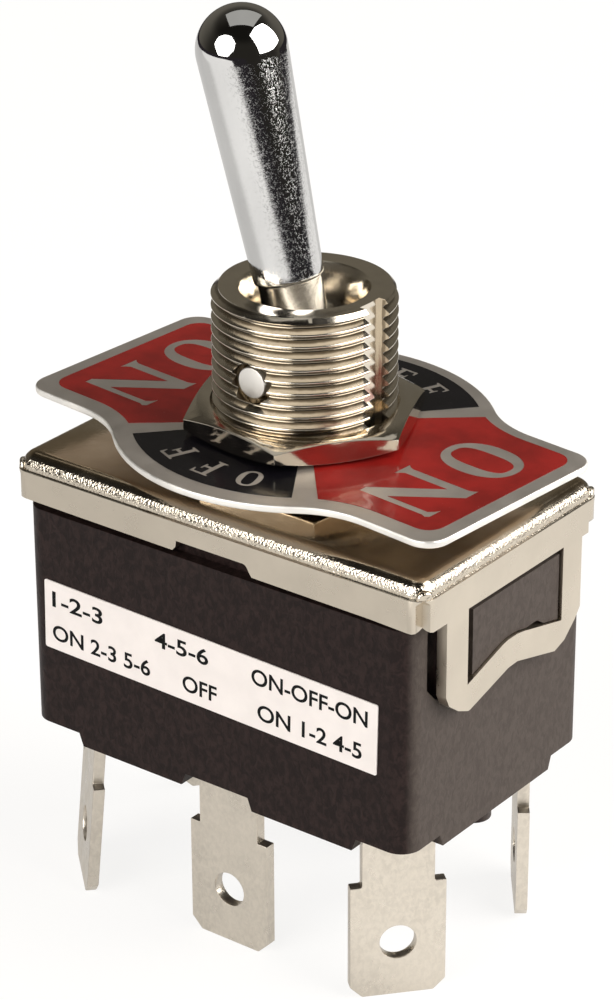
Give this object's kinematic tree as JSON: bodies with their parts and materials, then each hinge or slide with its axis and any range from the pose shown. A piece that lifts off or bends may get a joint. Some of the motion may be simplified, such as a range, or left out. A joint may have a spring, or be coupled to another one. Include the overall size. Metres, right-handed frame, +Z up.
{
  "type": "toggle switch",
  "caption": "Panel-mount toggle switch with a chromed bat lever, threaded bushing, legend plate, folded metal frame and blade terminals; ON-OFF-ON.",
  "frame": {"origin": "on the bushing axis, at the level of the terminal tips, which is also the bottom centre of the bounding box", "axes": "+Z up along the bushing; +X along the body towards the end with the keyway, the lever leaning towards -X at rest; -Y is the labelled side"},
  "size_m": [0.0358, 0.0248, 0.0615],
  "materials": {
    "phenolic": "moulded phenolic, dark brown-black, soft sheen",
    "nickel_steel": "bright nickel plate over formed sheet steel",
    "nickel_brass": "nickel plate over turned brass",
    "pin_steel": "bright drawn steel",
    "plate_aluminium": "matt aluminium with red and black enamel fields",
    "nickel_nut": "nickel plate",
    "washer_steel": "zinc plated spring steel",
    "fibre_sheet": "vulcanised fibre",
    "label": "printed paper label",
    "tinned_brass": "tin plate over brass",
    "contact_silver": "silver",
    "lever_chrome": "polished chrome plate",
    "nylon": "natural nylon",
    "spring_steel": "music wire",
    "plunger_brass": "turned brass",
    "rocker_brass": "stamped copper alloy"
  },
  "bodies": {
    "switch_body": {"base_housing": "phenolic", "top_frame": "nickel_steel", "bushing": "nickel_brass", "pivot_pin": "pin_steel", "legend_plate": "plate_aluminium", "face_nut": "nickel_nut", "back_nut": "nickel_nut", "lock_washer": "washer_steel", "insulator_sheet": "fibre_sheet", "rating_label": "label", "common_terminal_front": "tinned_brass", "common_terminal_rear": "tinned_brass", "terminal_front_left": "tinned_brass", "fixed_contact_front_left": "contact_silver", "terminal_front_right": "tinned_brass", "fixed_contact_front_right": "contact_silver", "terminal_rear_left": "tinned_brass", "fixed_contact_rear_left": "contact_silver", "terminal_rear_right": "tinned_brass", "fixed_contact_rear_right": "contact_silver"},
    "lever_body": {"lever": "lever_chrome", "actuator": "nylon", "spring_front": "spring_steel", "spring_rear": "spring_steel"},
    "plunger_front": {"plunger_front": "plunger_brass"},
    "plunger_rear": {"plunger_rear": "plunger_brass"},
    "rocker_front": {"rocker_front": "rocker_brass", "moving_contact_front_left": "contact_silver", "moving_contact_front_right": "contact_silver"},
    "rocker_rear": {"rocker_rear": "rocker_brass", "moving_contact_rear_left": "contact_silver", "moving_contact_rear_right": "contact_silver"}
  },
  "joints": [
    {"name": "lever_tilt", "type": "hinge", "parent": "switch_body", "child": "lever_body", "pos_m": [0, 0, 0.03925], "axis": [0, 1, 0], "range_deg": [0, 28]},
    {"name": "plunger_front_slide", "type": "slide", "parent": "lever_body", "child": "plunger_front", "axis": [-0.2419, 0, 0.9703], "range_m": [0, 0.0008], "stiffness_N_per_m": 1500, "springref_m": -0.001, "deforming": ["spring_front"]},
    {"name": "plunger_rear_slide", "type": "slide", "parent": "lever_body", "child": "plunger_rear", "axis": [-0.2419, 0, 0.9703], "range_m": [0, 0.0008], "stiffness_N_per_m": 1500, "springref_m": -0.001, "deforming": ["spring_rear"]},
    {"name": "rocker_front_tilt", "type": "hinge", "parent": "switch_body", "child": "rocker_front", "pos_m": [0, -0.0052, 0.01912], "axis": [0, 1, 0], "range_deg": [-18, 0]},
    {"name": "rocker_rear_tilt", "type": "hinge", "parent": "switch_body", "child": "rocker_rear", "pos_m": [0, 0.0052, 0.01912], "axis": [0, 1, 0], "range_deg": [-18, 0]}
  ],
  "couplings": [
    {"joint": "rocker_front_tilt", "follows": "lever_tilt", "ratio": -0.64286},
    {"joint": "rocker_rear_tilt", "follows": "lever_tilt", "ratio": -0.64286}
  ]
}
